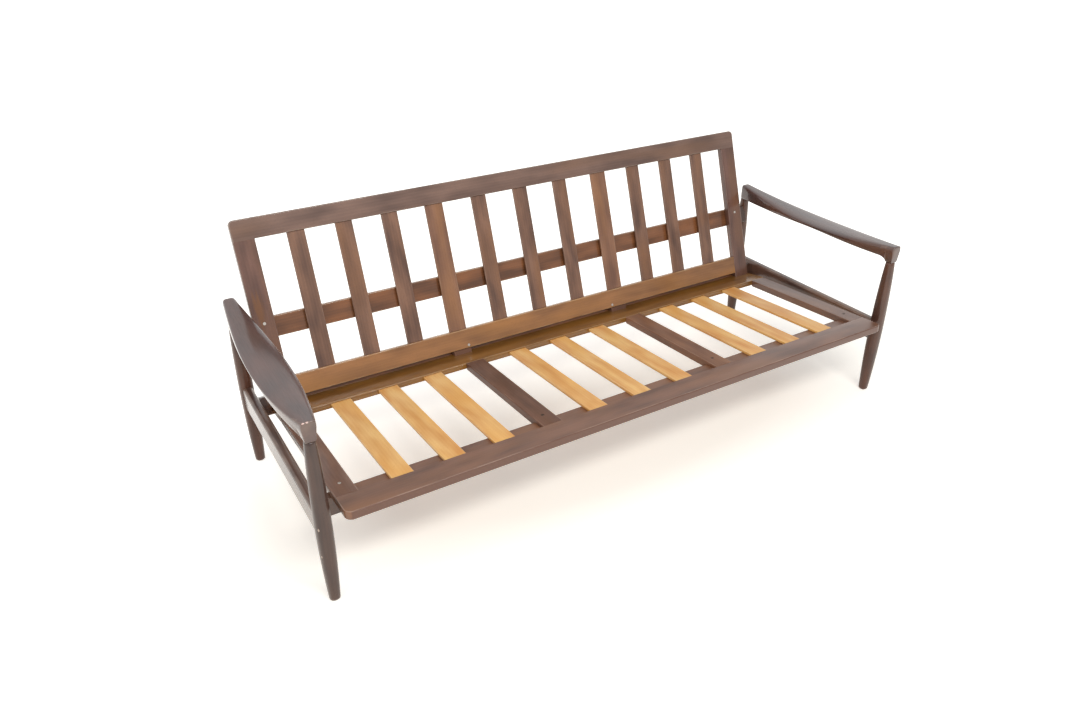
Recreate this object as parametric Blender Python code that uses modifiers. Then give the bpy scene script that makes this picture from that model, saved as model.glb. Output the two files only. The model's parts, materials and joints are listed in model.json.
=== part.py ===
"""Bare wooden frame of a three-seat sofa: two side frames with sculpted armrests, a sloping seat frame
with loose slats, and a leaning slatted back. Metres, +Z up, +Y towards the back, origin on the floor
under the middle of the frame."""

from math import atan2, cos, pi, radians, sin, sqrt, tan

import bmesh
import bpy
from mathutils import Matrix

for old in list(bpy.data.objects):
    bpy.data.objects.remove(old, do_unlink=True)

# Clearance between pieces that meet, and how far a tool runs past the face that it cuts.
FIT = 0.0003
CUT_PAST = 0.020

# Seat frame: a flat frame of boards that slopes down to the rear, divided into three places.
PLACES = 3
PLACE_WIDTH = 0.602
SEAT_DEPTH = 0.530
SEAT_HEIGHT = 0.279
SEAT_SLOPE = radians(3.9)
SEAT_THICKNESS = 0.023
FRONT_RAIL_WIDTH = 0.122
FRONT_RAIL_CORNER = 0.020
LEDGE_WIDTH = 0.046
END_RAIL_WIDTH = 0.059
CROSS_BAR_WIDTH = 0.060
SEAT_TENON_LENGTH = 0.014
SEAT_TENON_ROOT = 0.040
SEAT_TENON_THICKNESS = 0.008
SEAT_TENON_SHOULDER = 0.010

# Seat slats: the front end lies on the ledge of the front rail, the rear end in a slot of the rear rail.
SLATS_PER_PLACE = 3
SEAT_SLAT_WIDTH = 0.059
SEAT_SLAT_THICKNESS = 0.0085
SEAT_SLAT_FRONT_DROP = 0.002
SEAT_SLOT_DEPTH = 0.010
SEAT_SLOT_PLAY = 0.0005

# Rear rail of the seat: the back stands on it. It falls more than the seat and less than square to the back.
REAR_RAIL_THICKNESS = 0.0185
REAR_RAIL_SLOPE = radians(10.0)
BACK_SETBACK = 0.0794

# Back frame.
BACK_INSET = 0.003
BACK_TILT = radians(18.8)
BACK_THICKNESS = 0.022
BACK_FOOT_HEIGHT = 0.0148
BOTTOM_RAIL_WIDTH = 0.0615
BACK_WINDOW_HEIGHT = 0.3955
TOP_RAIL_WIDTH = 0.058
TOP_RAIL_CORNER = 0.014
STILE_WIDTH = 0.060
STILE_TENON_LENGTH = 0.012
STILE_TENON_SHOULDER = 0.010
BOTTOM_TENON_LENGTH = 0.024
BOTTOM_TENON_SHOULDER = 0.010
BACK_TENON_THICKNESS = 0.009
BACK_SLAT_WIDTH = 0.0515
BACK_WIDE_SLAT_WIDTH = 0.0595
BACK_SLAT_THICKNESS = 0.009
BACK_SLAT_ROUNDING = 0.0035
BACK_SLAT_TENON_LENGTH = 0.014
BACK_SLAT_TENON_THICKNESS = 0.005
BACK_SLAT_TENON_SHOULDER = 0.005

# Cleats: blocks on the rear rail that carry the bottom rail under the wide slats.
CLEAT_WIDTH = 0.060

# Rear support rail, behind the rear rail and the foot of the back, between the side rails.
SUPPORT_RAIL_THICKNESS = 0.0265
SUPPORT_RAIL_HEIGHT = 0.056
SUPPORT_RAIL_ABOVE_FOOT = 0.0325

# Front cross rail, under the seat between the side rails, and the tenons of both of these rails.
CROSS_RAIL_BEHIND_LEDGE = 0.008
CROSS_RAIL_THICKNESS = 0.028
CROSS_RAIL_HEIGHT = 0.052
CROSS_RAIL_TENON_LENGTH = 0.016
CROSS_RAIL_TENON_THICKNESS = 0.012
CROSS_RAIL_TENON_SHOULDER = 0.010

# Rear cross rail, behind the back between the rear legs.
REAR_CROSS_RAIL_THICKNESS = 0.025
REAR_CROSS_RAIL_HEIGHT = 0.0605
REAR_CROSS_RAIL_BELOW_ARM = 0.059
REAR_CROSS_RAIL_TO_LEG_CENTRE = 0.0065

# Side frames: legs that swell at the side rail and taper to the foot and to the armrest. Squareness is 2
# for a round section and higher for a squarer one.
SIDE_CLEARANCE = 0.023
LEG_WIDTH = 0.040
LEG_FOOT_WIDTH = 0.0245
LEG_TOP_WIDTH = 0.0235
LEG_SQUARENESS = 2.4
LEG_SWELL_POWER = 1.5
LEG_FOOT_ROUNDING = 0.003
LEG_TENON_WIDTH = 0.013
LEG_TENON_LENGTH = 0.022
FRONT_LEG_SETBACK = 0.049
REAR_LEG_BEHIND_RAIL = 0.005
SIDE_RAIL_THICKNESS = 0.028
SIDE_RAIL_ABOVE_CROSS = 0.015
SIDE_RAIL_BELOW_CROSS = 0.005
SIDE_RAIL_ROUNDING = 0.009
SIDE_RAIL_HOUSING = 0.010

# Armrests: a tall narrow rear end, a thin wide paddle, and a front knuckle that turns down to the leg.
# The edge share is the height of the widest line over the thickness.
ARM_ABOVE_SEAT = 0.208
ARM_WIDTH = 0.094
ARM_END_WIDTH = 0.033
ARM_WIDEST_FORWARD = 0.86
ARM_MIDDLE_THICKNESS = 0.0245
ARM_FRONT_THICKNESS = 0.040
ARM_REAR_THICKNESS = 0.052
ARM_EDGE_SHARE = 0.7
ARM_END_EDGE_SHARE = 0.5
ARM_SQUARENESS = 2.3
ARM_END_TOP_SQUARENESS = 4.5
ARM_END_BOTTOM_SQUARENESS = 12.0
ARM_FRONT_OVERHANG = 0.015
ARM_REAR_OVERHANG = 0.013
ARM_FRONT_ROUNDING = 0.0035
ARM_REAR_ROUNDING = 0.010
KNUCKLE_DROP = 0.017
KNUCKLE_DEPTH = 0.0265
KNUCKLE_FOOT_WIDTH = 0.0262
KNUCKLE_RAKE = 0.0028
KNUCKLE_FILLET = 0.020

# Countersunk wood screws with a slotted head.
SCREW_FACETS = 12
SCREW_HEAD_WIDTH = 0.0095
SCREW_HEAD_DEPTH = 0.0032
SCREW_RIM = 0.0004
SCREW_SHANK_WIDTH = 0.0045
SCREW_POINT_LENGTH = 0.006
SCREW_SLOT_WIDTH = 0.0012
SCREW_SLOT_DEPTH = 0.0010
SEAT_SCREW_GRIP = 0.027
BACK_SCREW_GRIP = 0.014
STILE_SCREW_BELOW_RAIL_TOP = 0.014
CLEAT_SCREW_FROM_BOTTOM = 0.009
CLEAT_SCREW_FROM_SIDE = 0.006

# Rounding of the long edges, and the angle from which an edge counts as sharp.
BOARD_ROUNDING = 0.003
SLAT_ROUNDING = 0.0015
SHARP_ANGLE = radians(37)

# Places that follow from the sizes above. The seat and the back have frames of their own, which lean:
# the seat's starts at its front top edge, the rear rail's where the seat boards end, and the back's at the
# foot of the stiles' front face.
SEAT_WIDTH = PLACES * PLACE_WIDTH
BACK_WIDTH = SEAT_WIDTH - 2 * BACK_INSET
DIVIDERS = [(place - PLACES / 2) * PLACE_WIDTH for place in range(1, PLACES)]
END_RAIL_X = (SEAT_WIDTH - END_RAIL_WIDTH) / 2
STILE_X = (BACK_WIDTH - STILE_WIDTH) / 2
STILE_INNER_X = BACK_WIDTH / 2 - STILE_WIDTH
WINDOW_BOTTOM = BACK_FOOT_HEIGHT + BOTTOM_RAIL_WIDTH
WINDOW_TOP = WINDOW_BOTTOM + BACK_WINDOW_HEIGHT
BACK_HEIGHT = WINDOW_TOP + TOP_RAIL_WIDTH
BACK_MIDDLE = BACK_THICKNESS / 2
BEHIND_BACK = BACK_THICKNESS + FIT
BACK_FOOT_Y = SEAT_DEPTH * cos(SEAT_SLOPE) + BACK_SETBACK * cos(REAR_RAIL_SLOPE)
BACK_FOOT_Z = SEAT_HEIGHT - SEAT_DEPTH * sin(SEAT_SLOPE) - BACK_SETBACK * sin(REAR_RAIL_SLOPE)
FRONTMOST = -(SEAT_THICKNESS - BOARD_ROUNDING) * sin(SEAT_SLOPE)
REARMOST = (BACK_FOOT_Y + (BACK_THICKNESS - BOARD_ROUNDING) * cos(BACK_TILT)
            + (BACK_HEIGHT - BOARD_ROUNDING) * sin(BACK_TILT) + BOARD_ROUNDING)
SEAT_Y = -(FRONTMOST + REARMOST) / 2
REBATE_Y = FRONT_RAIL_WIDTH - LEDGE_WIDTH
REAR_FACE_LEAN = REAR_RAIL_SLOPE - SEAT_SLOPE
REAR_FACE_MIDDLE = -REAR_RAIL_THICKNESS / 2 * cos(REAR_FACE_LEAN)
SLAT_FALL = atan2(-REAR_FACE_MIDDLE - SEAT_SLAT_THICKNESS / 2 - SEAT_SLAT_FRONT_DROP,
                  SEAT_DEPTH - REBATE_Y)
LEDGE_DEPTH = (SEAT_SLAT_FRONT_DROP + LEDGE_WIDTH * tan(SLAT_FALL)
               + SEAT_SLAT_THICKNESS / cos(SLAT_FALL) + FIT)
CROSS_RAIL_Y = FRONT_RAIL_WIDTH + CROSS_RAIL_BEHIND_LEDGE
CROSS_RAIL_Z = -SEAT_THICKNESS - FIT - CROSS_RAIL_HEIGHT / 2
SUPPORT_RAIL_Y = BEHIND_BACK + SUPPORT_RAIL_THICKNESS / 2
SUPPORT_RAIL_Z = SUPPORT_RAIL_ABOVE_FOOT - SUPPORT_RAIL_HEIGHT / 2
SIDE_RAIL_HEIGHT = CROSS_RAIL_HEIGHT + SIDE_RAIL_ABOVE_CROSS + SIDE_RAIL_BELOW_CROSS
SIDE_RAIL_Z = (SEAT_HEIGHT - CROSS_RAIL_Y * sin(SEAT_SLOPE) + CROSS_RAIL_Z * cos(SEAT_SLOPE)
               + (SIDE_RAIL_ABOVE_CROSS - SIDE_RAIL_BELOW_CROSS) / 2)
ARM_UNDERSIDE = SEAT_HEIGHT + ARM_ABOVE_SEAT
REAR_CROSS_RAIL_Y = BEHIND_BACK + REAR_CROSS_RAIL_THICKNESS / 2
REAR_CROSS_RAIL_Z = (ARM_UNDERSIDE - REAR_CROSS_RAIL_BELOW_ARM - BACK_FOOT_Z
                     + REAR_CROSS_RAIL_Y * sin(BACK_TILT)) / cos(BACK_TILT)
LEG_X = SEAT_WIDTH / 2 + SIDE_CLEARANCE + LEG_WIDTH / 2
FRONT_LEG_Y = SEAT_Y + FRONT_LEG_SETBACK
REAR_LEG_Y = (SEAT_Y + BACK_FOOT_Y + REAR_CROSS_RAIL_Y * cos(BACK_TILT)
              + REAR_CROSS_RAIL_Z * sin(BACK_TILT) + REAR_LEG_BEHIND_RAIL)
FRONT_LEG_TOP = ARM_UNDERSIDE - KNUCKLE_DROP
ARM_FRONT_Y = FRONT_LEG_Y - ARM_FRONT_OVERHANG
ARM_LENGTH = REAR_LEG_Y + ARM_REAR_OVERHANG - ARM_FRONT_Y


def new_collection(name):
    made = bpy.data.collections.new(name)
    bpy.context.scene.collection.children.link(made)
    return made


def new_material(name, colour, roughness, metallic=0.0):
    made = bpy.data.materials.new(name)
    made.use_nodes = True
    shader = made.node_tree.nodes["Principled BSDF"]
    shader.inputs["Base Color"].default_value = (*colour, 1.0)
    shader.inputs["Roughness"].default_value = roughness
    shader.inputs["Metallic"].default_value = metallic
    return made


PARTS = new_collection("three_seat_sofa_frame")
CUTTERS = new_collection("cutters")
DARK_WOOD = new_material("dark_stained_beech", (0.105, 0.052, 0.032), 0.42)
WARM_WOOD = new_material("warm_stained_beech", (0.150, 0.074, 0.036), 0.45)
PALE_WOOD = new_material("pale_beech", (0.640, 0.340, 0.120), 0.55)
STEEL = new_material("zinc_plated_steel", (0.560, 0.560, 0.560), 0.30, 1.0)


def new_frame(name, parent, y, z, lean):
    """An empty whose own Z leans back: pieces parented to it are placed square to the leaning frame."""
    made = bpy.data.objects.new(name, None)
    made.parent = parent
    made.location = (0.0, y, z)
    made.rotation_euler = (-lean, 0.0, 0.0)
    PARTS.objects.link(made)
    return made


FLOOR = new_frame("side_frames", None, 0.0, 0.0, 0.0)
SEAT = new_frame("seat_frame", None, SEAT_Y, SEAT_HEIGHT, SEAT_SLOPE)
SLATS = new_frame("seat_slats", SEAT, REBATE_Y, -SEAT_SLAT_FRONT_DROP, SLAT_FALL)
REAR = new_frame("seat_rear", SEAT, SEAT_DEPTH, 0.0, REAR_FACE_LEAN)
BACK = new_frame("back_frame", None, SEAT_Y + BACK_FOOT_Y, BACK_FOOT_Z, BACK_TILT)


def add(name, mesh, parent, place, material=None):
    """Puts a bmesh into the scene as a part or, with no material, as a hidden tool."""
    data = bpy.data.meshes.new(name)
    mesh.to_mesh(data)
    mesh.free()
    made = bpy.data.objects.new(name, data)
    made.parent = parent
    made.location = place
    if material:
        data.materials.append(material)
        PARTS.objects.link(made)
    else:
        made.hide_render = True
        made.display_type = "WIRE"
        CUTTERS.objects.link(made)
    return made


def smooth(piece):
    piece.data.shade_smooth()
    piece.data.set_sharp_from_angle(angle=SHARP_ANGLE)


def combine(piece, tool, operation):
    boolean = piece.modifiers.new(tool.name, "BOOLEAN")
    boolean.operation = operation
    boolean.solver = "EXACT"
    boolean.object = tool


def cut(piece, *tools):
    for tool in tools:
        combine(piece, tool, "DIFFERENCE")


def round_edges(mesh, chosen, radius, segments):
    edges = [edge for edge in mesh.edges if chosen(edge.verts[0].co, edge.verts[1].co)]
    bmesh.ops.bevel(mesh, geom=edges, offset=radius, segments=segments, profile=0.5, affect="EDGES")


def soften(piece):
    """Rounds every edge that is still sharp."""
    bevel = piece.modifiers.new("softened edges", "BEVEL")
    bevel.width = BOARD_ROUNDING
    bevel.segments = 2
    bevel.angle_limit = SHARP_ANGLE


def block(size, grain="X", rounding=0.0, segments=2):
    """A box about its own centre, with the edges that run along its grain rounded."""
    mesh = bmesh.new()
    bmesh.ops.create_cube(mesh, size=1.0, matrix=Matrix.Diagonal((*size, 1.0)))
    if rounding:
        axis = "XYZ".index(grain)
        round_edges(mesh, lambda a, b: abs(a[axis] - b[axis]) > size[axis] / 2, rounding, segments)
    return mesh


def boxes(name, parent, places, grow=0.0):
    """A hidden tool of separate boxes, each given as (centre, size) and grown all round."""
    mesh = bmesh.new()
    for centre, size in places:
        scale = Matrix.Diagonal((*(side + 2 * grow for side in size), 1.0))
        bmesh.ops.create_cube(mesh, size=1.0, matrix=Matrix.Translation(centre) @ scale)
    return add(name, mesh, parent, (0.0, 0.0, 0.0))


def tenoned(piece, core):
    """Joins to a board its core, (centre, size), which runs on past the shoulders as tenons."""
    combine(piece, boxes(f"{piece.name}_tenon", piece.parent, [core]), "UNION")


def evenly(count, start, end, width):
    """Centres of pieces of one width that leave equal gaps between start and end."""
    gap = (end - start - count * width) / (count + 1)
    return [start + gap + width / 2 + i * (gap + width) for i in range(count)]


def in_places(half_opening, divider_width, width):
    """Centres of the slats of every place between the dividers."""
    starts = [-half_opening] + [x + divider_width / 2 for x in DIVIDERS]
    ends = [x - divider_width / 2 for x in DIVIDERS] + [half_opening]
    return [x for start, end in zip(starts, ends) for x in evenly(SLATS_PER_PLACE, start, end, width)]


def loft(rings):
    """A closed skin over rings of equal count, with flat ends."""
    mesh = bmesh.new()
    rows = [[mesh.verts.new(point) for point in ring] for ring in rings]
    count = len(rows[0])
    for lower, upper in zip(rows, rows[1:]):
        for i in range(count):
            j = (i + 1) % count
            mesh.faces.new((lower[i], lower[j], upper[j], upper[i]))
    mesh.faces.new(rows[0])
    mesh.faces.new(rows[-1])
    bmesh.ops.recalc_face_normals(mesh, faces=mesh.faces)
    return mesh


def squared_ring(half_width, power, count=16):
    """Points of a circle drawn out towards a square: power 2 is round."""
    points = []
    for i in range(count):
        c = cos(2 * pi * i / count)
        s = sin(2 * pi * i / count)
        reach = half_width / (abs(c) ** power + abs(s) ** power) ** (1 / power)
        points.append((reach * c, reach * s))
    return points


SIDES = (("left", -1), ("right", 1))

# Cross rails. The front one lies under the seat boards, the support rail behind the foot of the back, and
# both are tenoned into the side rails. The rear one lies flat against the back of the stiles, and its ends
# are let into the rear legs.


def between_side_rails(name, parent, place, thickness, height):
    """A rail with a tenon at each end, and the tool for its mortises."""
    shoulder = LEG_X - SIDE_RAIL_THICKNESS / 2 - FIT
    core = (place, (2 * (shoulder + CROSS_RAIL_TENON_LENGTH), CROSS_RAIL_TENON_THICKNESS,
                    height - 2 * CROSS_RAIL_TENON_SHOULDER))
    mesh = block((2 * shoulder, thickness, height), "X", BOARD_ROUNDING)
    rail = add(name, mesh, parent, place, DARK_WOOD)
    tenoned(rail, core)
    return rail, boxes(f"{name}_mortises", parent, [core], FIT)


front_cross_rail, front_cross_mortises = between_side_rails(
    "front_cross_rail", SEAT, (0.0, CROSS_RAIL_Y, CROSS_RAIL_Z), CROSS_RAIL_THICKNESS, CROSS_RAIL_HEIGHT)
support_rail, support_rail_mortises = between_side_rails(
    "rear_support_rail", BACK, (0.0, SUPPORT_RAIL_Y, SUPPORT_RAIL_Z), SUPPORT_RAIL_THICKNESS,
    SUPPORT_RAIL_HEIGHT)


def rear_cross_block(grow):
    end = LEG_X - REAR_CROSS_RAIL_TO_LEG_CENTRE + grow
    size = (2 * end, REAR_CROSS_RAIL_THICKNESS + 2 * grow, REAR_CROSS_RAIL_HEIGHT + 2 * grow)
    return block(size, "X", BOARD_ROUNDING + grow)


rear_cross_place = (0.0, REAR_CROSS_RAIL_Y, REAR_CROSS_RAIL_Z)
rear_cross_rail = add("rear_cross_rail", rear_cross_block(0.0), BACK, rear_cross_place, WARM_WOOD)
rear_cross_housing = add("rear_cross_rail_housing", rear_cross_block(FIT), BACK, rear_cross_place)

# Side frames: two legs, the rail between them and the armrest on top.


def leg_half_width(height, top):
    """Swells from the foot to the side rail, then tapers to the top."""
    if height < SIDE_RAIL_Z:
        swell = (LEG_WIDTH - LEG_FOOT_WIDTH) * sin(pi / 2 * height / SIDE_RAIL_Z) ** LEG_SWELL_POWER
        return (LEG_FOOT_WIDTH + swell) / 2
    taper = (LEG_WIDTH - LEG_TOP_WIDTH) * sin(pi / 2 * (top - height) / (top - SIDE_RAIL_Z))
    return (LEG_TOP_WIDTH + taper) / 2


def leg(top, steps=14):
    shoulder = top - FIT
    heights = [LEG_FOOT_ROUNDING + (shoulder - LEG_FOOT_ROUNDING) * i / steps for i in range(steps + 1)]
    levels = [(0.0, LEG_FOOT_WIDTH / 2 - LEG_FOOT_ROUNDING)]
    levels += [(height, leg_half_width(height, top)) for height in heights]
    levels += [(shoulder, LEG_TENON_WIDTH / 2), (top + LEG_TENON_LENGTH, LEG_TENON_WIDTH / 2)]
    return loft([[(x, y, z) for x, y in squared_ring(half, LEG_SQUARENESS)] for z, half in levels])


def leg_socket(top):
    ring = squared_ring(LEG_TENON_WIDTH / 2 + FIT, LEG_SQUARENESS)
    return loft([[(x, y, z) for x, y in ring] for z in (top - CUT_PAST, top + LEG_TENON_LENGTH + FIT)])


def rounded_share(distance, radius):
    """Share of the full size this far in from a rounded end."""
    left = 1 - min(distance / radius, 1.0)
    return sqrt(1 - left ** 2)


def arm_bottom(back):
    """Height of the underside this far behind the front face: the knuckle, its hollow, then the arm."""
    beyond = max(back - KNUCKLE_DEPTH, 0.0)
    return ARM_UNDERSIDE - KNUCKLE_DROP * (1 - rounded_share(beyond, KNUCKLE_FILLET))


def blend(start, end, share):
    return start + (end - start) * share


def arm_section(back, count=24):
    """Cross-section this far behind the front face. The paddle share is 0 at both ends and 1 between, and
    the knuckle share is 1 over the leg and 0 behind the hollow."""
    paddle = sin(pi * (back / ARM_LENGTH) ** ARM_WIDEST_FORWARD)
    end_thickness = blend(ARM_FRONT_THICKNESS, ARM_REAR_THICKNESS, back / ARM_LENGTH)
    thickness = blend(end_thickness, ARM_MIDDLE_THICKNESS, paddle)
    edge_height = thickness * blend(ARM_END_EDGE_SHARE, ARM_EDGE_SHARE, paddle)
    widest = ARM_UNDERSIDE + edge_height
    front_inset = ARM_FRONT_ROUNDING * (1 - rounded_share(back, ARM_FRONT_ROUNDING))
    rear_inset = ARM_REAR_ROUNDING * (1 - rounded_share(ARM_LENGTH - back, ARM_REAR_ROUNDING))
    half = blend(ARM_END_WIDTH, ARM_WIDTH, paddle) / 2 - front_inset - rear_inset
    rise = thickness - edge_height - front_inset - rear_inset
    fall = widest - arm_bottom(back) - front_inset
    knuckle = (ARM_UNDERSIDE - arm_bottom(back)) / KNUCKLE_DROP
    foot = blend(half, min(half, KNUCKLE_FOOT_WIDTH / 2), knuckle)
    top_squareness = blend(ARM_END_TOP_SQUARENESS, ARM_SQUARENESS, paddle)
    bottom_squareness = blend(ARM_END_BOTTOM_SQUARENESS, ARM_SQUARENESS, paddle)
    points = []
    for i in range(count):
        c = cos(2 * pi * i / count)
        s = sin(2 * pi * i / count)
        power = top_squareness if s > 0 else bottom_squareness
        reach = (abs(c) ** power + abs(s) ** power) ** (-1 / power)
        depth = max(-s * reach, 0.0)
        rake = KNUCKLE_RAKE * depth * max(1 - back / KNUCKLE_DEPTH, 0.0)
        height = widest + (rise if s > 0 else fall) * reach * s
        points.append((blend(half, foot, depth) * reach * c, back + rake, height))
    return points


def armrest(steps=16):
    hollow_end = KNUCKLE_DEPTH + KNUCKLE_FILLET
    rear = ARM_LENGTH - ARM_REAR_ROUNDING
    stations = [ARM_FRONT_ROUNDING * share for share in (0.0, 0.3, 1.0)]
    stations += [KNUCKLE_DEPTH + KNUCKLE_FILLET * share for share in (0.0, 0.1, 0.35, 0.7)]
    stations += [hollow_end + (rear - hollow_end) * i / steps for i in range(steps + 1)]
    stations += [ARM_LENGTH - ARM_REAR_ROUNDING * share for share in (0.6, 0.3, 0.1, 0.0)]
    return loft([arm_section(back) for back in stations])


rail_start = FRONT_LEG_Y + LEG_WIDTH / 2 - SIDE_RAIL_HOUSING
rail_end = REAR_LEG_Y - LEG_WIDTH / 2 + SIDE_RAIL_HOUSING


def side_rail_block(grow):
    size = (SIDE_RAIL_THICKNESS + 2 * grow, rail_end - rail_start + 2 * grow, SIDE_RAIL_HEIGHT + 2 * grow)
    return block(size, "Y", SIDE_RAIL_ROUNDING + grow, 3)


for side, sign in SIDES:
    x = sign * LEG_X
    rail_place = (x, (rail_start + rail_end) / 2, SIDE_RAIL_Z)
    front_place = (x, FRONT_LEG_Y, 0.0)
    rear_place = (x, REAR_LEG_Y, 0.0)
    side_rail = add(f"side_rail_{side}", side_rail_block(0.0), FLOOR, rail_place, DARK_WOOD)
    cut(side_rail, front_cross_mortises, support_rail_mortises)
    housing = add(f"side_rail_housing_{side}", side_rail_block(FIT), FLOOR, rail_place)
    front_leg = add(f"front_leg_{side}", leg(FRONT_LEG_TOP), FLOOR, front_place, DARK_WOOD)
    cut(front_leg, housing)
    rear_leg = add(f"rear_leg_{side}", leg(ARM_UNDERSIDE), FLOOR, rear_place, DARK_WOOD)
    cut(rear_leg, housing, rear_cross_housing)
    arm = add(f"armrest_{side}", armrest(), FLOOR, (x, ARM_FRONT_Y, 0.0), DARK_WOOD)
    cut(arm, add(f"front_leg_socket_{side}", leg_socket(FRONT_LEG_TOP), FLOOR, front_place))
    cut(arm, add(f"rear_leg_socket_{side}", leg_socket(ARM_UNDERSIDE), FLOOR, rear_place))
    for piece in (front_leg, rear_leg, arm):
        smooth(piece)

# Seat front rail: a wide board with rounded front corners, rebated behind for the slats and the boards
# that run to the rear.
front_mesh = block((SEAT_WIDTH, FRONT_RAIL_WIDTH, SEAT_THICKNESS))
round_edges(front_mesh, lambda a, b: a.y < 0 and b.y < 0 and a.x == b.x, FRONT_RAIL_CORNER, 6)
front_rail_place = (0.0, FRONT_RAIL_WIDTH / 2, -SEAT_THICKNESS / 2)
front_rail = add("seat_front_rail", front_mesh, SEAT, front_rail_place, DARK_WOOD)
soften(front_rail)
rebate = ((0.0, REBATE_Y + LEDGE_WIDTH, SEAT_THICKNESS / 2 - LEDGE_DEPTH),
          (SEAT_WIDTH + CUT_PAST, 2 * LEDGE_WIDTH, SEAT_THICKNESS))
cut(front_rail, boxes("seat_rebate", SEAT, [rebate]))
below_rebate = ((0.0, FRONT_RAIL_WIDTH / 2, -LEDGE_DEPTH - SEAT_THICKNESS / 2),
                (SEAT_WIDTH + CUT_PAST, FRONT_RAIL_WIDTH, SEAT_THICKNESS))
ledge_clearance = boxes("seat_ledge_clearance", SEAT, [below_rebate], FIT)

# Rear rail of the seat: a board cut off flush behind the back, where it meets the support rail. The seat
# boards keep out of the space behind its front face, and the back keeps out of the space below its top.
rear_rail_width = BACK_SETBACK + BACK_THICKNESS / cos(BACK_TILT - REAR_RAIL_SLOPE) + CUT_PAST
rear_rail_place = (0.0, rear_rail_width / 2, -REAR_RAIL_THICKNESS / 2)
rear_rail_mesh = block((SEAT_WIDTH, rear_rail_width, REAR_RAIL_THICKNESS), "X", BOARD_ROUNDING)
rear_rail = add("seat_rear_rail", rear_rail_mesh, REAR, rear_rail_place, WARM_WOOD)
space_behind = ((0.0, BACK_THICKNESS + 2 * CUT_PAST, 0.0),
                (SEAT_WIDTH + CUT_PAST, 4 * CUT_PAST, 8 * CUT_PAST))
cut(rear_rail, boxes("space_behind_back", BACK, [space_behind]))
rear_space = (rear_rail_place,
              (SEAT_WIDTH + CUT_PAST, rear_rail_width, REAR_RAIL_THICKNESS + 4 * CUT_PAST))
rear_clearance = boxes("seat_rear_clearance", REAR, [rear_space], FIT)
space_below = ((0.0, rear_rail_width / 2, -CUT_PAST),
               (SEAT_WIDTH + CUT_PAST, rear_rail_width, 2 * CUT_PAST))
foot_clearance = boxes("back_foot_clearance", REAR, [space_below], FIT)

# Boards from the front rail's rebate to the rear rail: one at each end and one between the places.
seat_boards = [(f"end_rail_{side}", sign * END_RAIL_X, END_RAIL_WIDTH) for side, sign in SIDES]
seat_boards += [(f"cross_bar_{number}", x, CROSS_BAR_WIDTH) for number, x in enumerate(DIVIDERS, start=1)]
board_front = REBATE_Y + FIT
board_rear = SEAT_DEPTH + CUT_PAST
tenon_front = SEAT_DEPTH - SEAT_TENON_ROOT
tenon_rear = SEAT_DEPTH + SEAT_TENON_LENGTH
seat_tenons = []
for name, x, width in seat_boards:
    place = (x, (board_front + board_rear) / 2, -SEAT_THICKNESS / 2)
    mesh = block((width, board_rear - board_front, SEAT_THICKNESS), "Y", BOARD_ROUNDING)
    board = add(f"seat_{name}", mesh, SEAT, place, DARK_WOOD)
    cut(board, ledge_clearance, rear_clearance)
    tenon = ((x, (tenon_front + tenon_rear) / 2, REAR_FACE_MIDDLE),
             (width - 2 * SEAT_TENON_SHOULDER, tenon_rear - tenon_front, SEAT_TENON_THICKNESS))
    tenoned(board, tenon)
    seat_tenons.append(tenon)
cut(rear_rail, boxes("seat_board_mortises", SEAT, seat_tenons, FIT))

# Seat slats, loose in their rebate and slots.
slat_rear = SEAT_DEPTH - REBATE_Y + SEAT_SLOT_DEPTH
slat_size = (SEAT_SLAT_WIDTH, slat_rear - FIT, SEAT_SLAT_THICKNESS)
slat_centres = in_places(SEAT_WIDTH / 2 - END_RAIL_WIDTH, CROSS_BAR_WIDTH, SEAT_SLAT_WIDTH)
slots = []
for number, x in enumerate(slat_centres, start=1):
    place = (x, (slat_rear + FIT) / 2, -SEAT_SLAT_THICKNESS / 2)
    add(f"seat_slat_{number}", block(slat_size, "Y", SLAT_ROUNDING), SLATS, place, PALE_WOOD)
    slots.append((place, slat_size))
cut(rear_rail, boxes("seat_slat_slots", SLATS, slots, SEAT_SLOT_PLAY))

# Back frame: stiles from the rear rail of the seat to the top rail, the bottom rail between the stiles,
# and slats tenoned into both rails.
top_mesh = block((BACK_WIDTH, BACK_THICKNESS, TOP_RAIL_WIDTH))
round_edges(top_mesh, lambda a, b: a.z > 0 and b.z > 0 and a.x == b.x, TOP_RAIL_CORNER, 5)
top_place = (0.0, BACK_MIDDLE, WINDOW_TOP + TOP_RAIL_WIDTH / 2)
top_rail = add("back_top_rail", top_mesh, BACK, top_place, DARK_WOOD)
soften(top_rail)

bottom_place = (0.0, BACK_MIDDLE, BACK_FOOT_HEIGHT + BOTTOM_RAIL_WIDTH / 2)
bottom_size = (2 * (STILE_INNER_X - FIT), BACK_THICKNESS, BOTTOM_RAIL_WIDTH)
bottom_core = (bottom_place, (2 * (STILE_INNER_X + BOTTOM_TENON_LENGTH), BACK_TENON_THICKNESS,
                              BOTTOM_RAIL_WIDTH - 2 * BOTTOM_TENON_SHOULDER))
bottom_mesh = block(bottom_size, "X", BOARD_ROUNDING)
bottom_rail = add("back_bottom_rail", bottom_mesh, BACK, bottom_place, WARM_WOOD)
tenoned(bottom_rail, bottom_core)
bottom_mortise = boxes("back_bottom_rail_mortise", BACK, [bottom_core], FIT)

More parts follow.
